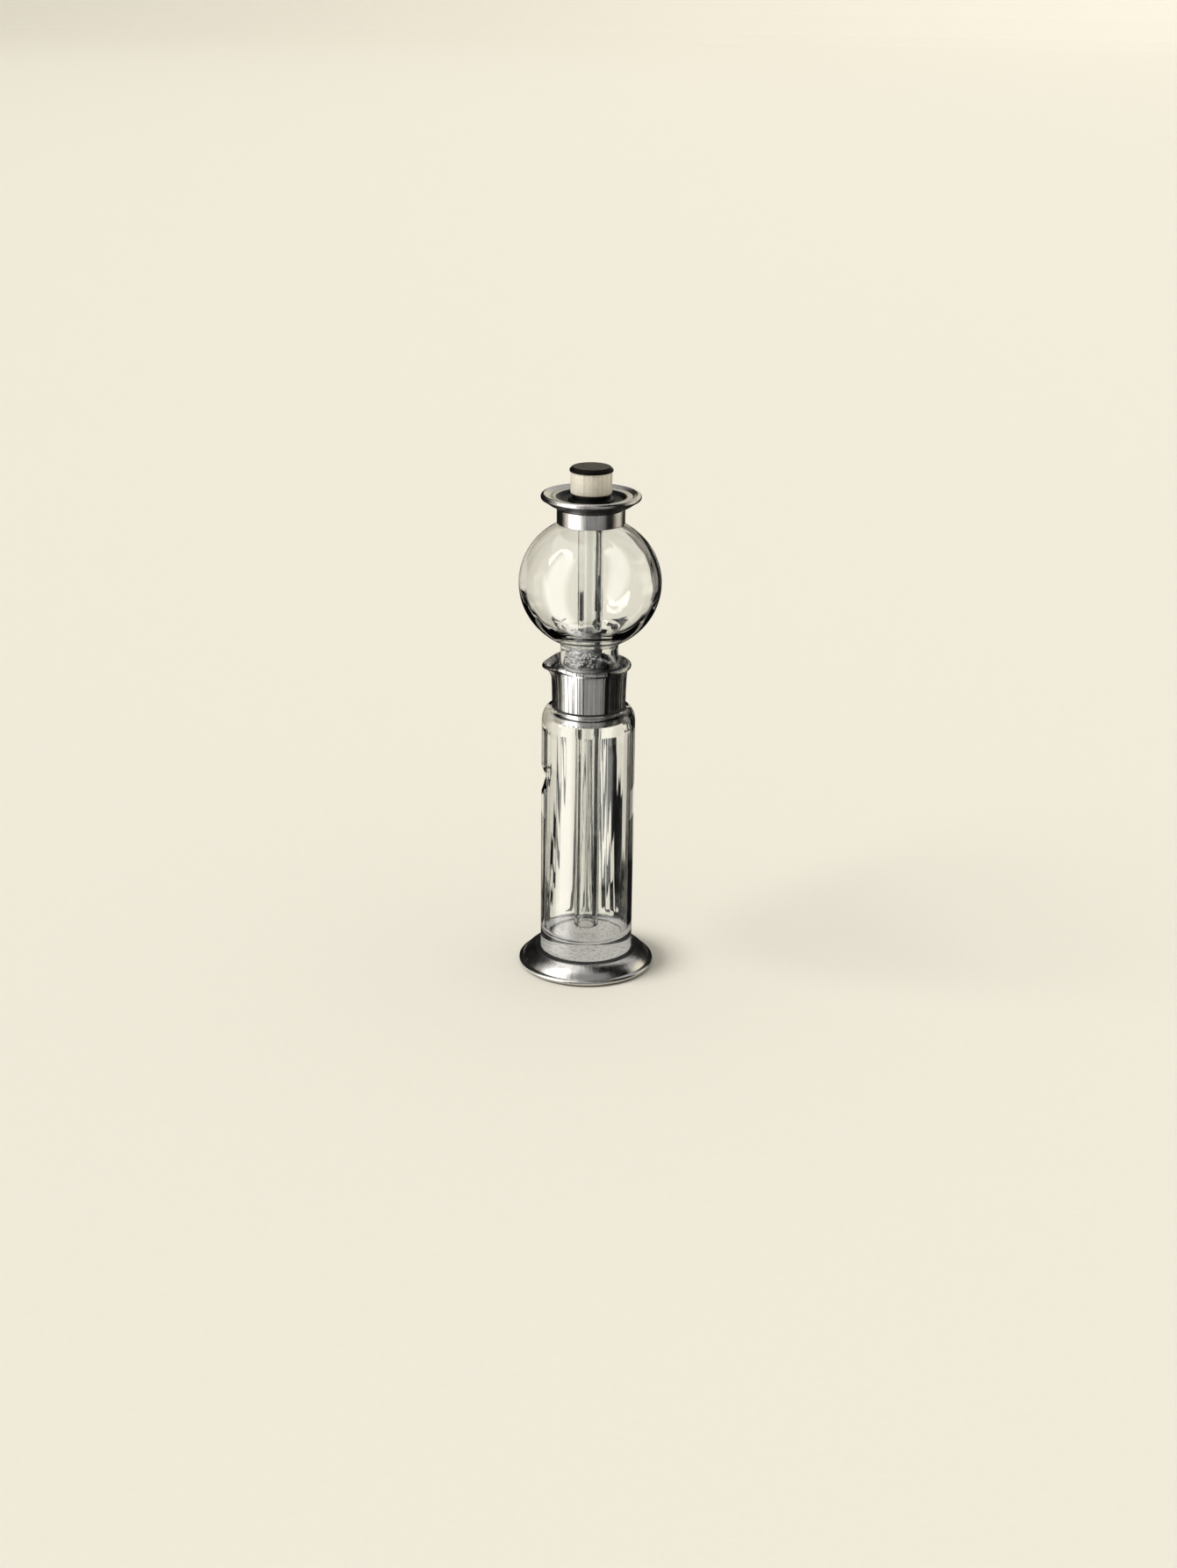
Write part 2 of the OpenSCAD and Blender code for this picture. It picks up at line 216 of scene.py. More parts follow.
class Nodes:
    """A small helper to write node trees."""

    def __init__(self, name):
        self.material = bpy.data.materials.new(name)
        self.material.use_nodes = True
        self.tree = self.material.node_tree
        self.shader = self.tree.nodes["Principled BSDF"]
        self.place = self.add("ShaderNodeTexCoord").outputs["Object"]

    def add(self, kind, **settings):
        node = self.tree.nodes.new(kind)
        for key, value in settings.items():
            setattr(node, key, value)
        return node

    def link(self, a, b):
        self.tree.links.new(a, b)

    def set(self, **values):
        for key, value in values.items():
            self.shader.inputs[key.replace("_", " ")].default_value = value

    def math(self, operation, a, b=None):
        node = self.add("ShaderNodeMath", operation=operation)
        for socket, value in zip(node.inputs, (a, b)):
            if value is None:
                continue
            if isinstance(value, (int, float)):
                socket.default_value = value
            else:
                self.link(value, socket)
        return node.outputs[0]

    def radius(self):
        """The distance from the axis."""
        part = self.add("ShaderNodeSeparateXYZ")
        self.link(self.place, part.inputs[0])
        x, y, _ = part.outputs
        return self.math("SQRT", self.math("ADD", self.math("MULTIPLY", x, x), self.math("MULTIPLY", y, y)))

    def height(self):
        """The height above the floor."""
        part = self.add("ShaderNodeSeparateXYZ")
        self.link(self.place, part.inputs[0])
        return part.outputs[2]

    def between(self, factor, a, b):
        """Colour a where the factor is 0, and b where it is 1."""
        node = self.add("ShaderNodeMix", data_type="RGBA")
        self.link(factor, node.inputs[0])
        self.link(a, node.inputs[6])
        self.link(b, node.inputs[7])
        return node.outputs[2]

    def around(self, turns, along):
        """Coordinates that run round the axis without a seam: fine round it, stretched along it."""
        part = self.add("ShaderNodeSeparateXYZ")
        self.link(self.place, part.inputs[0])
        x, y, z = part.outputs
        r = self.math("MAXIMUM", self.radius(), 1e-5)
        out = self.add("ShaderNodeCombineXYZ")
        self.link(self.math("MULTIPLY", self.math("DIVIDE", x, r), turns), out.inputs[0])
        self.link(self.math("MULTIPLY", self.math("DIVIDE", y, r), turns), out.inputs[1])
        self.link(self.math("MULTIPLY", z, along), out.inputs[2])
        return out.outputs[0]

    def noise(self, scale, detail=4.0, roughness=0.55, place=None, distortion=0.0):
        node = self.add("ShaderNodeTexNoise")
        node.inputs["Scale"].default_value = scale
        node.inputs["Detail"].default_value = detail
        node.inputs["Roughness"].default_value = roughness
        node.inputs["Distortion"].default_value = distortion
        self.link(place or self.place, node.inputs["Vector"])
        return node.outputs["Fac"]

    def ramp(self, value, *stops):
        node = self.add("ShaderNodeValToRGB")
        elements = node.color_ramp.elements
        while len(elements) < len(stops):
            elements.new(0.5)
        for element, (at, colour) in zip(elements, stops):
            element.position = at
            element.color = (*colour, 1) if len(colour) == 3 else colour
        self.link(value, node.inputs[0])
        return node.outputs[0]

    def spread(self, value, low, high, from_low=0.3, from_high=0.7):
        """The value's stretch from from_low to from_high, spread from low to high."""
        node = self.add("ShaderNodeMapRange")
        ends = {"From Min": from_low, "From Max": from_high, "To Min": low, "To Max": high}
        for key, number in ends.items():
            node.inputs[key].default_value = number
        self.link(value, node.inputs["Value"])
        return node.outputs[0]

    def colour(self, socket):
        self.link(socket, self.shader.inputs["Base Color"])

    def roughness(self, socket):
        self.link(socket, self.shader.inputs["Roughness"])

    def bump(self, height, strength, distance):
        """Adds a bump on top of those that are there already."""
        node = self.add("ShaderNodeBump")
        node.inputs["Strength"].default_value = strength
        node.inputs["Distance"].default_value = distance
        before = self.shader.inputs["Normal"]
        if before.is_linked:
            self.link(before.links[0].from_socket, node.inputs["Normal"])
        self.link(height, node.inputs["Height"])
        self.link(node.outputs[0], before)


def grey(value, warm=0.0):
    """A grey, made warmer by warm."""
    return (value * (1 + warm), value, value * (1 - warm))


def clear_glass(name, tint, streak):
    """Old clear glass: nearly colourless, with faint drawn streaks and a little dust."""
    n = Nodes(name)
    n.set(Transmission_Weight=1.0, IOR=1.5)
    n.shader.inputs["Base Color"].default_value = (*tint, 1)
    n.roughness(n.spread(n.noise(90, 5), 0.0, 0.008, 0.5, 0.8))
    n.bump(n.noise(1.0, 3, place=n.around(8, 2.5)), streak, 0.0006)
    return n.material


def plated_metal(name, streaks=26.0, along=10.0, base=0.66, depth=0.22, worn=0.66, lined=0.4, contrast=1.0,
                 painted_shade_within=None):
    """Worn nickel plate, with fine drawn lines and duller patches.

    worn is how much of base's brightness the wear leaves, lined the drawn lines' share in the pattern, and
    contrast how sharply the pattern is marked.
    The last argument, a radius and a height, gives painted shade: inside the one and below the other the
    plate is painted near black, as the shade in a well and under a rim.
    """
    n = Nodes(name)
    n.set(Metallic=1.0)
    wear = n.noise(55, 6, 0.6)
    lines = n.noise(1.0, 7, 0.75, place=n.around(streaks, along))
    mixed = n.math("ADD", n.math("MULTIPLY", wear, 1 - lined), n.math("MULTIPLY", lines, lined))
    colour = n.ramp(mixed,
                    (0.5 - 0.16 / contrast, grey(base * worn, 0.04)),
                    (0.5, grey(base, 0.02)),
                    (0.5 + 0.18 / contrast, grey(base * 1.18, 0.015)))
    blotch = n.noise(140, 5)
    both = n.math("ADD", n.math("MULTIPLY", lines, 0.6), n.math("MULTIPLY", blotch, 0.4))
    rough = n.spread(both, 0.12, 0.30, 0.32, 0.68)
    # painted shade: the well and the underside are painted near black, where shade falls on the real plate
    if painted_shade_within:
        wander = n.math("MULTIPLY", n.math("SUBTRACT", wear, 0.5), 0.8 * MM)
        within, below = painted_shade_within
        outside = n.spread(n.math("ADD", n.radius(), wander), 0.0, 1.0, within - 0.3 * MM, within + 0.3 * MM)
        above = n.spread(n.math("ADD", n.height(), wander), 0.0, 1.0, below - 0.2 * MM, below + 0.2 * MM)
        bright = n.math("MULTIPLY", outside, above)
        colour = n.between(bright, n.ramp(blotch, (0.3, grey(0.010)), (0.7, grey(0.028))), colour)
        rough = n.math("ADD", rough, n.math("MULTIPLY", n.math("SUBTRACT", 1.0, bright), 0.25))
    n.colour(colour)
    n.roughness(rough)
    n.bump(lines, depth, 0.0003)
    n.bump(n.noise(900, 3), 0.03, 0.0001)
    return n.material


def cork(name):
    """Cork: warm and pale, with darker pores and cells."""
    n = Nodes(name)
    cells = n.add("ShaderNodeTexVoronoi")
    cells.inputs["Scale"].default_value = 900
    n.link(n.place, cells.inputs["Vector"])
    pores = n.noise(420, 6, 0.65)
    n.colour(n.ramp(pores, (0.3, (0.17, 0.11, 0.06)), (0.42, (0.44, 0.33, 0.21)), (0.7, (0.64, 0.51, 0.36))))
    n.roughness(n.spread(pores, 0.92, 0.72))
    n.bump(cells.outputs["Distance"], 0.25, 0.0003)
    n.bump(pores, 0.5, 0.0005)
    return n.material


def pale_wood(name):
    """Turned boxwood: cream, close grained, waxed, with faint upright grain."""
    n = Nodes(name)
    grain = n.noise(1.0, 7, 0.7, place=n.around(24, 9), distortion=0.2)
    flecks = n.noise(600, 4)
    mixed = n.math("ADD", n.math("MULTIPLY", grain, 0.75), n.math("MULTIPLY", flecks, 0.25))
    n.colour(n.ramp(mixed, (0.34, (0.4, 0.34, 0.25)), (0.45, (0.76, 0.71, 0.6)), (0.6, (0.88, 0.84, 0.74))))
    n.roughness(n.spread(mixed, 0.48, 0.34))
    n.set(Coat_Weight=0.25, Coat_Roughness=0.22)
    n.bump(grain, 0.22, 0.0003)
    return n.material


def ebonite(name):
    """Polished hard rubber: near black, mirror-like, with hairline scratches."""
    n = Nodes(name)
    n.colour(n.ramp(n.noise(60, 4), (0.35, (0.004, 0.004, 0.004)), (0.65, (0.010, 0.009, 0.008))))
    n.roughness(n.spread(n.noise(300, 6, 0.7), 0.10, 0.26))
    n.set(IOR=1.09)
    n.bump(n.noise(1.0, 6, 0.8, place=n.around(60, 30)), 0.04, 0.0001)
    return n.material


def black_rubber(name):
    """Aged rubber: black with a grey bloom."""
    n = Nodes(name)
    bloom = n.noise(130, 6, 0.62)
    n.colour(n.ramp(bloom, (0.35, grey(0.014)), (0.60, grey(0.030)), (0.78, grey(0.075))))
    n.roughness(n.spread(bloom, 0.55, 0.85))
    n.bump(n.noise(1400, 4), 0.2, 0.0002)
    return n.material


def pitch(name):
    """Poured pitch: black, softly shining, with a wavy skin."""
    n = Nodes(name)
    n.colour(n.ramp(n.noise(200, 4), (0.3, grey(0.006)), (0.7, grey(0.016))))
    n.roughness(n.spread(n.noise(240, 4), 0.22, 0.5))
    n.bump(n.noise(260, 3), 0.5, 0.0005)
    return n.material


def plaster(name):
    """Set plaster: white and gritty, with dark flecks where its surface is pitted."""
    n = Nodes(name)
    grit = n.noise(800, 6, 0.7)
    n.colour(n.ramp(grit, (0.38, (0.30, 0.29, 0.26)), (0.46, (0.86, 0.84, 0.79)), (0.7, (0.95, 0.94, 0.90))))
    n.roughness(n.spread(grit, 0.8, 0.95))
    n.bump(grit, 0.4, 0.0003)
    return n.material


def porcelain(name):
    """Glazed porcelain: white and a little uneven."""
    n = Nodes(name)
    n.colour(n.ramp(n.noise(150, 4), (0.3, (0.78, 0.77, 0.73)), (0.7, (0.88, 0.87, 0.84))))
    n.roughness(n.spread(n.noise(500, 4), 0.12, 0.3))
    n.set(Coat_Weight=0.5, Coat_Roughness=0.1)
    n.bump(n.noise(220, 3), 0.08, 0.0003)
    return n.material


def baize(name):
    """Baize: dark green and felted."""
    n = Nodes(name)
    nap = n.noise(1600, 5, 0.7)
    n.colour(n.ramp(nap, (0.3, (0.020, 0.034, 0.024)), (0.7, (0.060, 0.085, 0.062))))
    n.roughness(n.spread(nap, 0.9, 1.0))
    n.set(Sheen_Weight=0.4, Sheen_Roughness=0.5)
    n.bump(nap, 0.8, 0.0004)
    return n.material


def wool(name):
    """Glass wool: white, with a silky sheen, and near-black specks painted in as shade in the gaps between
    its strands.
    """
    n = Nodes(name)
    strands = n.noise(700, 4, 0.65, distortion=0.8)
    # painted shade: the lowest stretch of the noise is near black, standing for the shade in the gaps between
    # strands
    n.colour(n.ramp(strands, (0.4, grey(0.05)), (0.46, (0.78, 0.78, 0.75)), (0.7, (0.95, 0.95, 0.92))))
    n.roughness(n.spread(strands, 0.45, 0.8))
    n.set(Sheen_Weight=0.5, Sheen_Roughness=0.35)
    n.bump(strands, 0.7, 0.0006)
    return n.material


def brass(name):
    """Drawn brass with a little tarnish."""
    n = Nodes(name)
    n.set(Metallic=1.0)
    wear = n.noise(300, 5)
    n.colour(n.ramp(wear, (0.3, (0.44, 0.29, 0.10)), (0.7, (0.76, 0.56, 0.24))))
    n.roughness(n.spread(wear, 0.18, 0.4))
    return n.material


def paper(name, colour):
    """The plain pale ground that the object stands on."""
    n = Nodes(name)
    tooth = n.noise(260, 4)
    n.colour(n.ramp(tooth, (0.3, tuple(c * 0.985 for c in colour)), (0.7, colour)))
    n.roughness(n.spread(tooth, 0.85, 0.95))
    n.set(Specular_IOR_Level=0.0)
    return n.material


GLASS_TINT = (0.975, 0.98, 0.975)
column_glass = clear_glass("column_glass", GLASS_TINT, 0.012)
globe_glass = clear_glass("globe_glass", GLASS_TINT, 0.012)
tube_glass = clear_glass("tube_glass", (0.93, 0.94, 0.93), 0.02)
SAUCER_PAINTED_SHADE = (18.6 * MM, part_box("saucer")[1].z - 2.2 * MM)      # painted shade: the saucer's well and the underside of its rim are painted near black
nickel = plated_metal("plated_metal")
cup_nickel = plated_metal("cup_plated_metal", streaks=15.0, along=3.0, base=0.68, depth=0.3, worn=0.08,
                          lined=0.92, contrast=3.2)
saucer_nickel_painted_shade = plated_metal("saucer_plated_metal_painted_shade", painted_shade_within=SAUCER_PAINTED_SHADE)
cork_brown = cork("cork")
boxwood = pale_wood("pale_wood")
hard_rubber = ebonite("ebonite")
rubber = black_rubber("black_rubber")
black_pitch = pitch("pitch")
wool_with_painted_shade = wool("glass_wool")
white_plaster = plaster("plaster")


# ---------------------------------------------------------------- glass

def striae(seed, size, low=7, high=64, waves=9):
    """A wavy error of a hand-drawn wall: metres of radius, by angle and height.

    It is a sum of waves, each with low to high ridges round the axis, and the finer the shallower.
    """
    rng = random.Random(seed)
    terms = [(rng.randint(low, high), rng.uniform(0, TURN), rng.uniform(-0.2, 0.2)) for _ in range(waves)]

    def error(angle, z):
        return sum(size / math.sqrt(ridges) * math.sin(ridges * angle + phase + lean * z * 10)
                   for ridges, phase, lean in terms)
    return error


column_low, column_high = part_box("column")
column_r = column_high.x
WETTED = 0.04 * MM          # glass reaches this far into what it is bedded in, so no air shows between them
TOUCH = 0.01 * MM           # points this near a surface are taken to lie on it


def make_column():
    """The column, with a wavy bore above its thick bottom, and the port cut in its side."""
    wall, bottom, skin = 2.6 * MM, 16 * MM, 1.0 * MM
    mouth = 5 * MM          # the ground mouth stays round, so that the cup's sleeve still fits it
    path, closed = outline_of("column")
    path = rounded(refined(path, closed, 1.5 * MM), closed, 0.3 * MM)
    bedding_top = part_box("bedding_ring")[1].z
    error = striae(3, 0.03 * MM)

    def shape(r, z, angle):
        walled = column_low.z + bottom < z < column_high.z - mouth
        if walled and r < column_r - 0.5 * wall:
            return r + error(angle, z), z
        if z < bedding_top and r > column_r - skin:
            return r + WETTED, z
        if z < column_low.z + TOUCH:
            return r, z - WETTED
        return r, z

    mesh = lathe_mesh("column_blown", path, closed, 288, shape)
    obj = finish_mesh("column_blown", mesh, column_glass)
    cut_port(obj)
    return stands_for(obj, "column")


PORT_Z = 107.5 * MM         # height of the port's middle
PORT_DEPTH = 3.1 * MM
PORT_HALF = 7.5 * MM        # half its height at the column's outside
PORT_FLAT = 3.5 * MM        # half its height at its flat bottom
PORT_RISE = 0.6 * MM        # how much higher the flat bottom's middle lies


def cut_port(obj):
    """Grinds the port across the -X side, with its edges softened by the fire."""
    spare = 2 * MM                              # the cutter's reach beyond the wall and the port's ends
    runout = 0.5 * MM                           # the slopes start this far beyond the port's ends
    bevel_x, bevel_z = 0.4 * MM, 0.6 * MM       # these soften the edges of the flat bottom
    bottom = -column_r + PORT_DEPTH
    beyond = -column_r - spare
    steps = 8
    sides = []
    for side in (-1, 1):
        outer = PORT_Z + side * (PORT_HALF + runout)
        flat = PORT_Z + PORT_RISE + side * PORT_FLAT
        slope = [(beyond, PORT_Z + side * (PORT_HALF + spare))]
        for k in range(steps + 1):
            t = k / steps
            ease = t * t * (3 - 2 * t)
            slope.append((-column_r + (PORT_DEPTH - bevel_x) * t, outer + (flat - outer) * ease))
        sides.append(slope + [(bottom, flat - side * bevel_z)])
    lower, upper = sides
    outline = lower + upper[::-1]
    count = len(outline)
    verts = [(x, side * column_r, z) for side in (-1, 1) for x, z in outline]
    faces = [tuple(range(count))[::-1], tuple(range(count, 2 * count))]
    faces += [(i, (i + 1) % count, count + (i + 1) % count, count + i) for i in range(count)]
    mesh = bpy.data.meshes.new("port_cutter")
    mesh.from_pydata(verts, [], faces)
    cutter = finish_mesh("port_cutter", mesh, column_glass)
    cut = obj.modifiers.new("port", "BOOLEAN")
    cut.operation = "DIFFERENCE"
    cut.solver = "EXACT"
    cut.object = cutter
    apply_modifiers(obj)
    bpy.data.objects.remove(cutter)
    bpy.data.meshes.remove(mesh)


def apply_modifiers(obj):
    """Puts an object's modifiers into its mesh."""
    depsgraph = bpy.context.evaluated_depsgraph_get()
    done = bpy.data.meshes.new_from_object(obj.evaluated_get(depsgraph))
    old = obj.data
    obj.modifiers.clear()
    obj.data = done
    done.name = old.name
    bpy.data.meshes.remove(old)


def make_globe():
    """The globe, with a wavy inside, and its neck wetted by the collar's cement."""
    path, closed = outline_of("globe")
    middle_z = max(path)[1]
    path = rounded(refined(path, closed, 1.4 * MM), closed, 0.3 * MM)
    low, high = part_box("globe")
    inner_r, inner_half = high.x - 1.1 * MM, high.x - 3.3 * MM
    blown_low, blown_high = low.z + 33 * MM, high.z - 12 * MM
    cement_low, cement_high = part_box("collar_cement")
    neck_low, neck_high = cement_low.z + 0.4 * MM, high.z - 0.5 * MM
    neck_r = cement_high.x - 0.6 * MM
    error = striae(11, 0.035 * MM, 5, 30, 7)

    def shape(r, z, angle):
        inside = math.hypot(r / inner_r, (z - middle_z) / inner_half) < 1.0
        if inside and blown_low < z < blown_high:
            return r + error(angle, z), z
        if neck_low < z < neck_high and r > neck_r - TOUCH:
            return r + WETTED, z
        return r, z

    mesh = lathe_mesh("globe_blown", path, closed, 256, shape)
    return stands_for(finish_mesh("globe_blown", mesh, globe_glass), "globe")


for clear in (make_column(), make_globe(), turned("centre_tube", tube_glass, 0.3 * MM, 3 * MM, 128)):
    clear.visible_shadow = False        # light comes through it to what stands inside and to the floor


# ---------------------------------------------------------------- spouted cup

LIP_WIDTH = 0.42            # radians, half-width of the pouring lip
LIP_DROP = 1.1 * MM         # fall of the lip's tip below the rim
LIP_HUMP = 1.2 * MM         # rise of the rim on both sides of the lip
HUMP_AT = 0.82              # radians from the lip's middle
HUMP_WIDTH = 0.36           # radians
DRAWN_LINE = 0.05 * MM      # depth of the upright lines on the cup's wall


def make_cup():
    """The spouted cup: a spigot for the sleeve, a lined wall, a rolled rim and a seat for the bung."""
    low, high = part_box("neck_cup")
    _, gasket_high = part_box("mouth_gasket")
    sleeve_low, sleeve_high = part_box("cup_sleeve")
    bung_low, bung_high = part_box("bung")
    rim_r = high.x
    reach = -low.x - rim_r                      # how far the lip's tip stands out beyond the rim
    step_z = gasket_high.z
    foot_r = gasket_high.x - 0.35 * MM
    spigot_r = sleeve_high.x - 0.92 * MM
    bore_r = spigot_r - 1.0 * MM
    edge = 0.3 * MM
    wall_top = high.z - 3.1 * MM

    def wall_r(z):
        t = (z - step_z) / (high.z - step_z)
        return foot_r + 0.5 * MM * t + 1.1 * MM * t ** 5

    shoe_r = sleeve_high.x - 0.1 * MM
    outer = [(bore_r, low.z), (shoe_r, low.z), (shoe_r, sleeve_low.z), (spigot_r, sleeve_low.z),
             (spigot_r, step_z), (foot_r - edge, step_z), (foot_r, step_z + edge)]
    steps = 16
    for k in range(1, steps + 1):
        z = step_z + edge + (wall_top - step_z) * k / steps
        outer.append((wall_r(z), z))
    band = rim_r - 1.0 * MM
    outer += [(band + 0.05 * MM, wall_top + 0.9 * MM), (band + 0.1 * MM, wall_top + 1.15 * MM)]
    bead = 1.25 * MM
    for k in range(steps + 1):
        a = math.radians(-70 + 190 * k / steps)
        outer.append((rim_r - bead + bead * math.cos(a), high.z - bead + bead * math.sin(a)))
    mouth_r = bung_high.x + 1.5 * MM
    inner = [(mouth_r, high.z - 0.9 * MM), (mouth_r - 0.5 * MM, high.z - 1.9 * MM)]
    for t in (0.0, 0.5, 1.0):
        seat_r = bung_high.x + 0.35 * MM - 0.72 * MM * t
        inner.append((seat_r, bung_high.z + 0.6 * MM - (bung_high.z - bung_low.z) * t))
    inner.append((bore_r, bung_low.z - 1.4 * MM))
    path = refined(rounded(outer + inner, True, 0.25 * MM), True, 1.2 * MM)
    lines = striae(21, DRAWN_LINE, 44, 105, 9)

    def shape(r, z, angle):
        if step_z + 0.2 * MM < z < wall_top and r > foot_r - 0.5 * MM:
            r += lines(angle, z)
        if z < bung_high.z - 4 * MM:
            return r, z
        away = abs(angle - math.pi)
        lip = math.exp(-(away / LIP_WIDTH) ** 2)
        hump = math.exp(-((away - HUMP_AT) / HUMP_WIDTH) ** 2)
        below = max(0.0, high.z - z)
        push = math.exp(-(below / (4.6 * MM)) ** 2)
        lift = math.exp(-(below / (4.0 * MM)) ** 2)
        return r + reach * lip * push, z + (LIP_HUMP * hump - LIP_DROP * lip) * lift

    mesh = lathe_mesh("neck_cup_spun", path, True, 576, shape)
    stands_for(finish_mesh("neck_cup_spun", mesh, cup_nickel, 38), "neck_cup")


make_cup()


# ---------------------------------------------------------------- metal, wood, rubber and cork

TURNED = {                  # the piece's material, and how far its corners are eased
    "foot": (nickel, 0.3 * MM),
    "bedding_ring": (black_pitch, 0.4 * MM),
    "collar": (nickel, 0.2 * MM),
    # the saucer and the throat carry the saucer's painted shade: near black in the well and under the rim
    "saucer": (saucer_nickel_painted_shade, 0.2 * MM),
    "throat": (saucer_nickel_painted_shade, 0.25 * MM),
    "stopper_head": (boxwood, 0.3 * MM),
    "stopper_cap": (hard_rubber, 0.3 * MM),
    "stopper_plug": (cork_brown, 0.3 * MM),
    "neck_bush": (cork_brown, 0.3 * MM),
    "bung": (rubber, 0.5 * MM),
    "cap_gasket": (rubber, 0.4 * MM),
    "mouth_gasket": (rubber, 0.2 * MM),
    "cup_sleeve": (nickel, 0.2 * MM),
}
for node, (material, ease) in TURNED.items():
    turned(node, material, ease)

OWN = {                     # pieces that keep their CAD mesh
    "foot_pad": baize("baize"),
    "plaster_bed": white_plaster,
    "collar_cement": white_plaster,
    "strainer_disc": porcelain("porcelain"),
    "stopper_pin": brass("pin_brass"),
}
for node, material in OWN.items():
    mesh = frame["nodes"][node].data
    mesh.materials.clear()
    mesh.materials.append(material)


# ---------------------------------------------------------------- glass wool

TUFTS = 560
TUFT_R = (0.6, 1.35)        # least and greatest radius of a tuft, in millimetres


def tuft(bm, at, radius, rng):
    """Adds one small lumpy tuft."""
    angle = rng.uniform(0, TURN)
    turn = Matrix.Rotation(angle, 4, Vector((rng.gauss(0, 1), rng.gauss(0, 1), rng.gauss(0, 1))))
    made = bmesh.ops.create_icosphere(bm, subdivisions=2, radius=radius)["verts"]
    squash = Vector((rng.uniform(0.75, 1.15), rng.uniform(0.75, 1.15), rng.uniform(0.6, 0.95)))
    for v in made:
        swell = 1 + 0.22 * noise.noise(v.co * (1.6 / radius) + at * 900)
        v.co = at + turn @ (v.co * squash * swell)


def make_wool():
    """A packed core in the waist, round the tube, under a heap of small tufts."""
    rng = random.Random(5)
    low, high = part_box("glass_wool")
    tube_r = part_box("centre_tube")[1].x + 0.15 * MM
    wall_r = high.x
    path, closed = outline_of("glass_wool")
    lumps = striae(8, 0.25 * MM, 5, 23, 8)
    cup_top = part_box("neck_cup")[1].z
    edge = 0.5 * MM                             # the core keeps its outline this near the tube and the disc
    inset_r, inset_z = 1.6 * MM, 1.8 * MM       # elsewhere it lies back by this, and tufts cover it

    def heap_top(r, angle):
        """Height of the heap's surface: banked up on the left, low on the right."""
        bank = (0.5 - 0.5 * math.cos(angle)) ** 0.6
        inward = (wall_r - r) / (wall_r - tube_r)
        top = cup_top + (high.z - cup_top) * (-0.05 + 0.75 * bank + 0.2 * inward)
        return min(high.z - 0.2 * MM, top)

    def shape(r, z, angle):
        if r < tube_r + edge or z < low.z + edge:
            return r, z
        top = min(z, heap_top(r, angle))
        return r - inset_r + lumps(angle, z), top - inset_z + lumps(2 * angle, z)

    mesh = lathe_mesh("glass_wool_packed", refined(path, closed, 0.8 * MM), closed, 144, shape)
    stands_for(finish_mesh("glass_wool_packed", mesh, wool_with_painted_shade, 60), "glass_wool")

    bm = bmesh.new()
    for k in range(TUFTS):
        angle = rng.uniform(0, TURN)
        radius = rng.uniform(*TUFT_R) * MM
        on_wall = k % 5 < 3         # three of five lie against the glass, and the others on the heap
        if on_wall:
            r = wall_r - radius - 0.1 * MM
            z = rng.uniform(low.z + radius, heap_top(r, angle) - 0.6 * radius)
        else:
            t = rng.uniform(0, 1) ** 0.6
            r = tube_r + radius + (wall_r - tube_r - 2 * radius) * t
            z = heap_top(r, angle) - radius * rng.uniform(0.7, 1.5)
        tuft(bm, Vector((r * math.cos(angle), r * math.sin(angle), z)), radius, rng)
    mesh = bpy.data.meshes.new("glass_wool_tufts")
    bm.to_mesh(mesh)
    bm.free()
    tufts = finish_mesh("glass_wool_tufts", mesh, wool_with_painted_shade, 60)
    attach(tufts, BODY_OF["glass_wool"])


make_wool()


# ---------------------------------------------------------------- studio
# Azimuths are degrees round the axis: 0 is the camera's side, 90 the right, 180 the back.

GROUND = (0.786, 0.757, 0.672)
DAYLIGHT = (1.0, 0.985, 0.955)
FROM_FOOT = 0.042           # cards on the floor begin here, just outside the foot
ON_FLOOR = 0.001            # and lie at this height


def stage_mesh(name, verts, faces, material):
    """A mesh of the studio, which is no part of the object."""
    mesh = bpy.data.meshes.new(name)
    mesh.from_pydata(verts, [], faces)
    mesh.materials.append(material)
    obj = bpy.data.objects.new(name, mesh)
    bpy.context.scene.collection.objects.link(obj)
    return obj


def swept(name, profile, spans, material, segment=2.0):
    """A sheet that follows a profile of (r, z) points, over each span of azimuth."""
    verts = []
    faces = []
    for start, end in spans:
        steps = max(1, round(abs(end - start) / segment))
        for s in range(steps + 1):
            a = math.radians(start + (end - start) * s / steps)
            here = len(verts)
            verts += [(r * math.sin(a), -r * math.cos(a), z) for r, z in profile]
            if s:
                faces += [(here + i, here + i + 1, here + i + 1 - len(profile), here + i - len(profile))
                          for i in range(len(profile) - 1)]
    return stage_mesh(name, verts, faces, material)


def hide_card(obj, mirrored, through):
    """Leaves a card to be seen in mirrors, or through glass: it lights nothing and casts no shade."""
    obj.visible_camera = False
    obj.visible_diffuse = False
    obj.visible_shadow = False
    obj.visible_glossy = mirrored
    obj.visible_transmission = through


def card(name, profile, spans, material, mirrored=True, through=True):
    """A studio card that only glass and mirrors see."""
    hide_card(swept(name, profile, spans, material), mirrored, through)


def upright_card(name, distance, top, spans, material, **seen):
    """A card that stands round the object, from the floor up."""
    card(name, [(distance, 0.0), (distance, top)], spans, material, **seen)


def floor_card(name, far, spans, material, **seen):
    """A card that lies on the floor, from the foot outwards."""
    card(name, [(FROM_FOOT, ON_FLOOR), (far, ON_FLOOR)], spans, material, **seen)


def card_black():
    """The cards' black, with a faint mottle."""
    n = Nodes("card_black")
    n.colour(n.ramp(n.noise(30, 2), (0.4, grey(0.006)), (0.6, grey(0.010))))
    n.set(Roughness=0.9, Specular_IOR_Level=0.0)
    return n.material


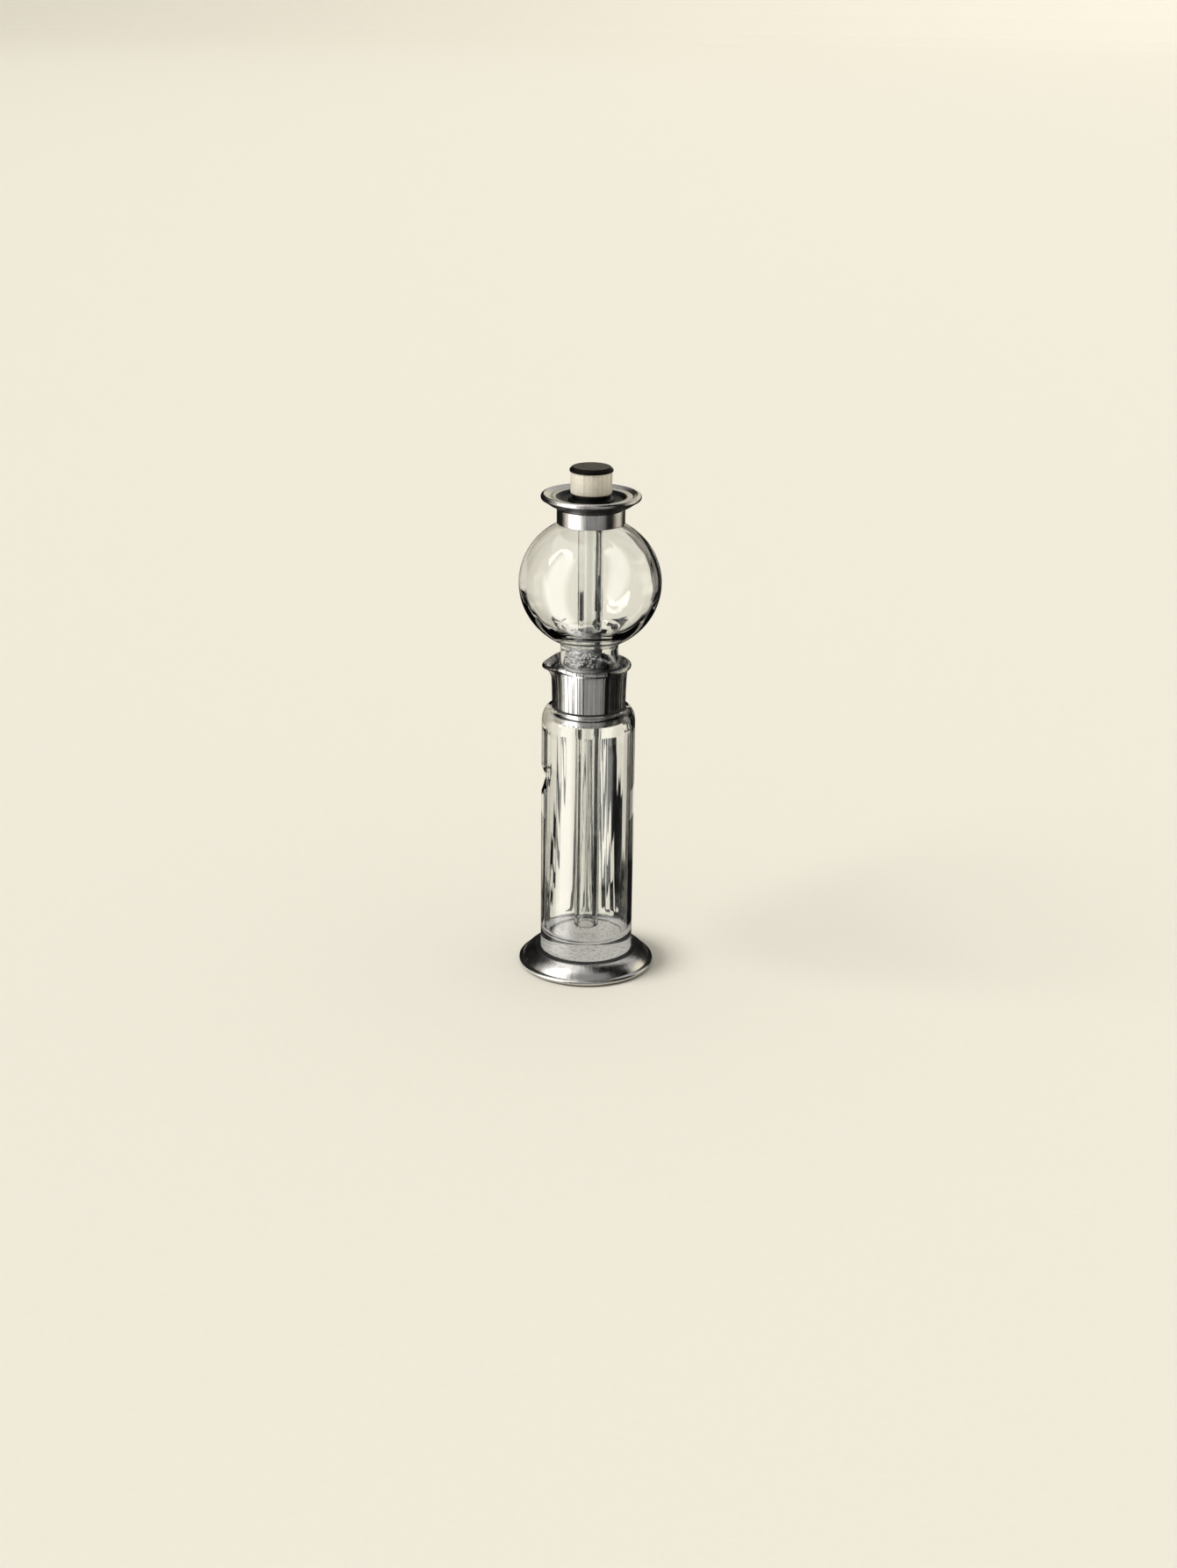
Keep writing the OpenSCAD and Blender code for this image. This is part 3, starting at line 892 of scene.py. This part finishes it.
def card_lit(name, radiance, middle, half, softness):
    """A lit card, brightest at one azimuth and fading out over its edges."""
    n = Nodes(name)
    part = n.add("ShaderNodeSeparateXYZ")
    n.link(n.place, part.inputs[0])
    x, y, _ = part.outputs
    angle = n.math("ARCTAN2", x, n.math("MULTIPLY", y, -1))
    off = n.math("ABSOLUTE", n.math("SUBTRACT", angle, math.radians(middle)))
    fade = n.spread(off, 1.0, 0.0, math.radians(half * (1 - softness)), math.radians(half))
    light = n.add("ShaderNodeEmission")
    light.inputs["Color"].default_value = (*DAYLIGHT, 1)
    n.link(n.math("MULTIPLY", fade, radiance), light.inputs["Strength"])
    n.link(light.outputs[0], n.tree.nodes["Material Output"].inputs["Surface"])
    n.tree.nodes.remove(n.shader)
    return n.material


def make_ground():
    """A round sweep: a flat floor that rises to a wall, ten metres off."""
    flat_r, wall_r, wall_h = 10.0, 13.0, 6.0
    curve = wall_r - flat_r
    steps = 12
    path = [(0.0, 0.0), (0.5, 0.0), (2.0, 0.0), (flat_r, 0.0)]
    for k in range(1, steps + 1):
        a = math.radians(90 * k / steps)
        path.append((flat_r + curve * math.sin(a), curve * (1 - math.cos(a))))
    path.append((wall_r, wall_h))
    swept("ground", path, [(0, 360)], paper("ground", GROUND), 3)


def make_cards(black):
    """One bright card at the left, dimmer ones in front and above, and black ones for the rest."""
    key = card_lit("card_key", 3.2, -56, 27, 0.55)
    front = card_lit("card_front", 0.30, 8, 66, 0.5)
    top = card_lit("card_top", 1.4, -85, 75, 0.4)

    upright_card("card_key", 0.30, 0.62, [(-83, -29)], key)
    floor_card("card_floor_key", 0.30, [(-83, -29)], key)
    card("card_front", [(0.24, ON_FLOOR), (0.29, ON_FLOOR), (0.29, 0.40)], [(-26, 60)], front)
    card("card_top", [(0.05, 0.9), (0.7, 0.8)], [(-160, -10)], top, through=False)

    upright_card("card_left", 0.31, 0.5, [(-176, -98)], black, through=False)
    card("card_right", [(0.19, ON_FLOOR), (0.28, ON_FLOOR), (0.28, 0.62)], [(48, 88)], black)
    upright_card("card_back", 0.29, 0.26, [(128, 232)], black, through=False)
    upright_card("card_foot", 0.5, 0.3, [(122, 166)], black)
    card("card_top_right", [(0.05, 0.7), (0.7, 0.6)], [(20, 110)], black, through=False)
    floor_card("card_floor", 0.235, [(-26, 62)], black)
    floor_card("card_floor_left", 0.34, [(235, 277)], black)
    floor_card("card_floor_right", 0.80, [(62, 125)], black)
    floor_card("card_floor_back", 0.235, [(125, 235)], black, through=False)

    card("card_over", [(0.0, 0.95), (1.3, 0.95)], [(-10, 190)], black, mirrored=False)
    card("card_far", [(1.3, 0.03), (1.3, 0.95)], [(95, 172)], black, mirrored=False)
    card("card_behind_near", [(0.036, 2 * ON_FLOOR), (0.40, 2 * ON_FLOOR)], [(211, 232), (118, 158)], black,
         mirrored=False)
    card("card_behind_far", [(0.40, 2 * ON_FLOOR), (0.66, 2 * ON_FLOOR)], [(84, 160), (200, 276)], black,
         mirrored=False)


def make_strips(black):
    """Straight black strips, side by side on the floor behind the column: upright bands in its wall."""
    near, far, z = 0.045, 0.40, 2 * ON_FLOOR
    for left, right in ((-52, -43), (-37, -33), (-12, -9), (-2, 1), (4, 7), (12, 15), (18, 22), (26, 54)):
        corners = [(left * MM, near, z), (right * MM, near, z), (right * MM, far, z), (left * MM, far, z)]
        strip = stage_mesh("strip_flag", corners, [(0, 1, 2, 3)], black)
        hide_card(strip, mirrored=False, through=True)


def make_shelf(black):
    """A low shelf beside the foot that only casts a shadow, for the one that the glass doesn't cast."""
    shelf = swept("flag_foot", [(0.022, 0.016), (0.034, 0.016)], [(15, 200)], black)
    hide_card(shelf, mirrored=False, through=False)
    shelf.visible_shadow = True


SUN_AZIMUTH = math.radians(-73)
SUN_HEIGHT = math.radians(42)
SUN_WIDTH = math.radians(40)
SUN_STRENGTH = 2.66
SKY_STRENGTH = 0.55


def make_lights():
    """A broad soft sun from the left, and an even sky."""
    scene = bpy.context.scene
    sun = bpy.data.lights.new("sun", "SUN")
    sun.energy = SUN_STRENGTH
    sun.angle = SUN_WIDTH
    sun.color = DAYLIGHT
    obj = bpy.data.objects.new("sun", sun)
    obj.location = (2 * math.sin(SUN_AZIMUTH), -2 * math.cos(SUN_AZIMUTH), 2 * math.tan(SUN_HEIGHT))
    obj.rotation_euler = (-obj.location).to_track_quat("-Z", "Y").to_euler()
    obj.visible_glossy = False
    scene.collection.objects.link(obj)
    world = bpy.data.worlds.new("studio")
    world.use_nodes = True
    sky = world.node_tree.nodes["Background"]
    sky.inputs["Color"].default_value = (*DAYLIGHT, 1)
    sky.inputs["Strength"].default_value = SKY_STRENGTH
    scene.world = world
    scene.view_settings.view_transform = "Standard"
    scene.cycles.caustics_refractive = False
    scene.cycles.caustics_reflective = False


CAMERA_AT = (0.0004, -1.20, 0.545)
CAMERA_PITCH = 20.19        # degrees below level
CAMERA_ROLL = 0.7           # degrees
CAMERA_LENS = 54.35         # millimetres, on a 36 mm sensor


def make_camera():
    """The camera, in front of the object and above it, looking down a little."""
    camera = bpy.data.cameras.new("camera")
    camera.lens = CAMERA_LENS
    camera.sensor_width = 36
    obj = bpy.data.objects.new("camera", camera)
    obj.location = CAMERA_AT
    tilt = Matrix.Rotation(math.radians(90 - CAMERA_PITCH), 3, "X")
    obj.rotation_euler = (tilt @ Matrix.Rotation(math.radians(CAMERA_ROLL), 3, "Z")).to_euler()
    bpy.context.scene.collection.objects.link(obj)
    bpy.context.scene.camera = obj


black_card = card_black()
make_ground()
make_cards(black_card)
make_strips(black_card)
make_shelf(black_card)
make_lights()
make_camera()
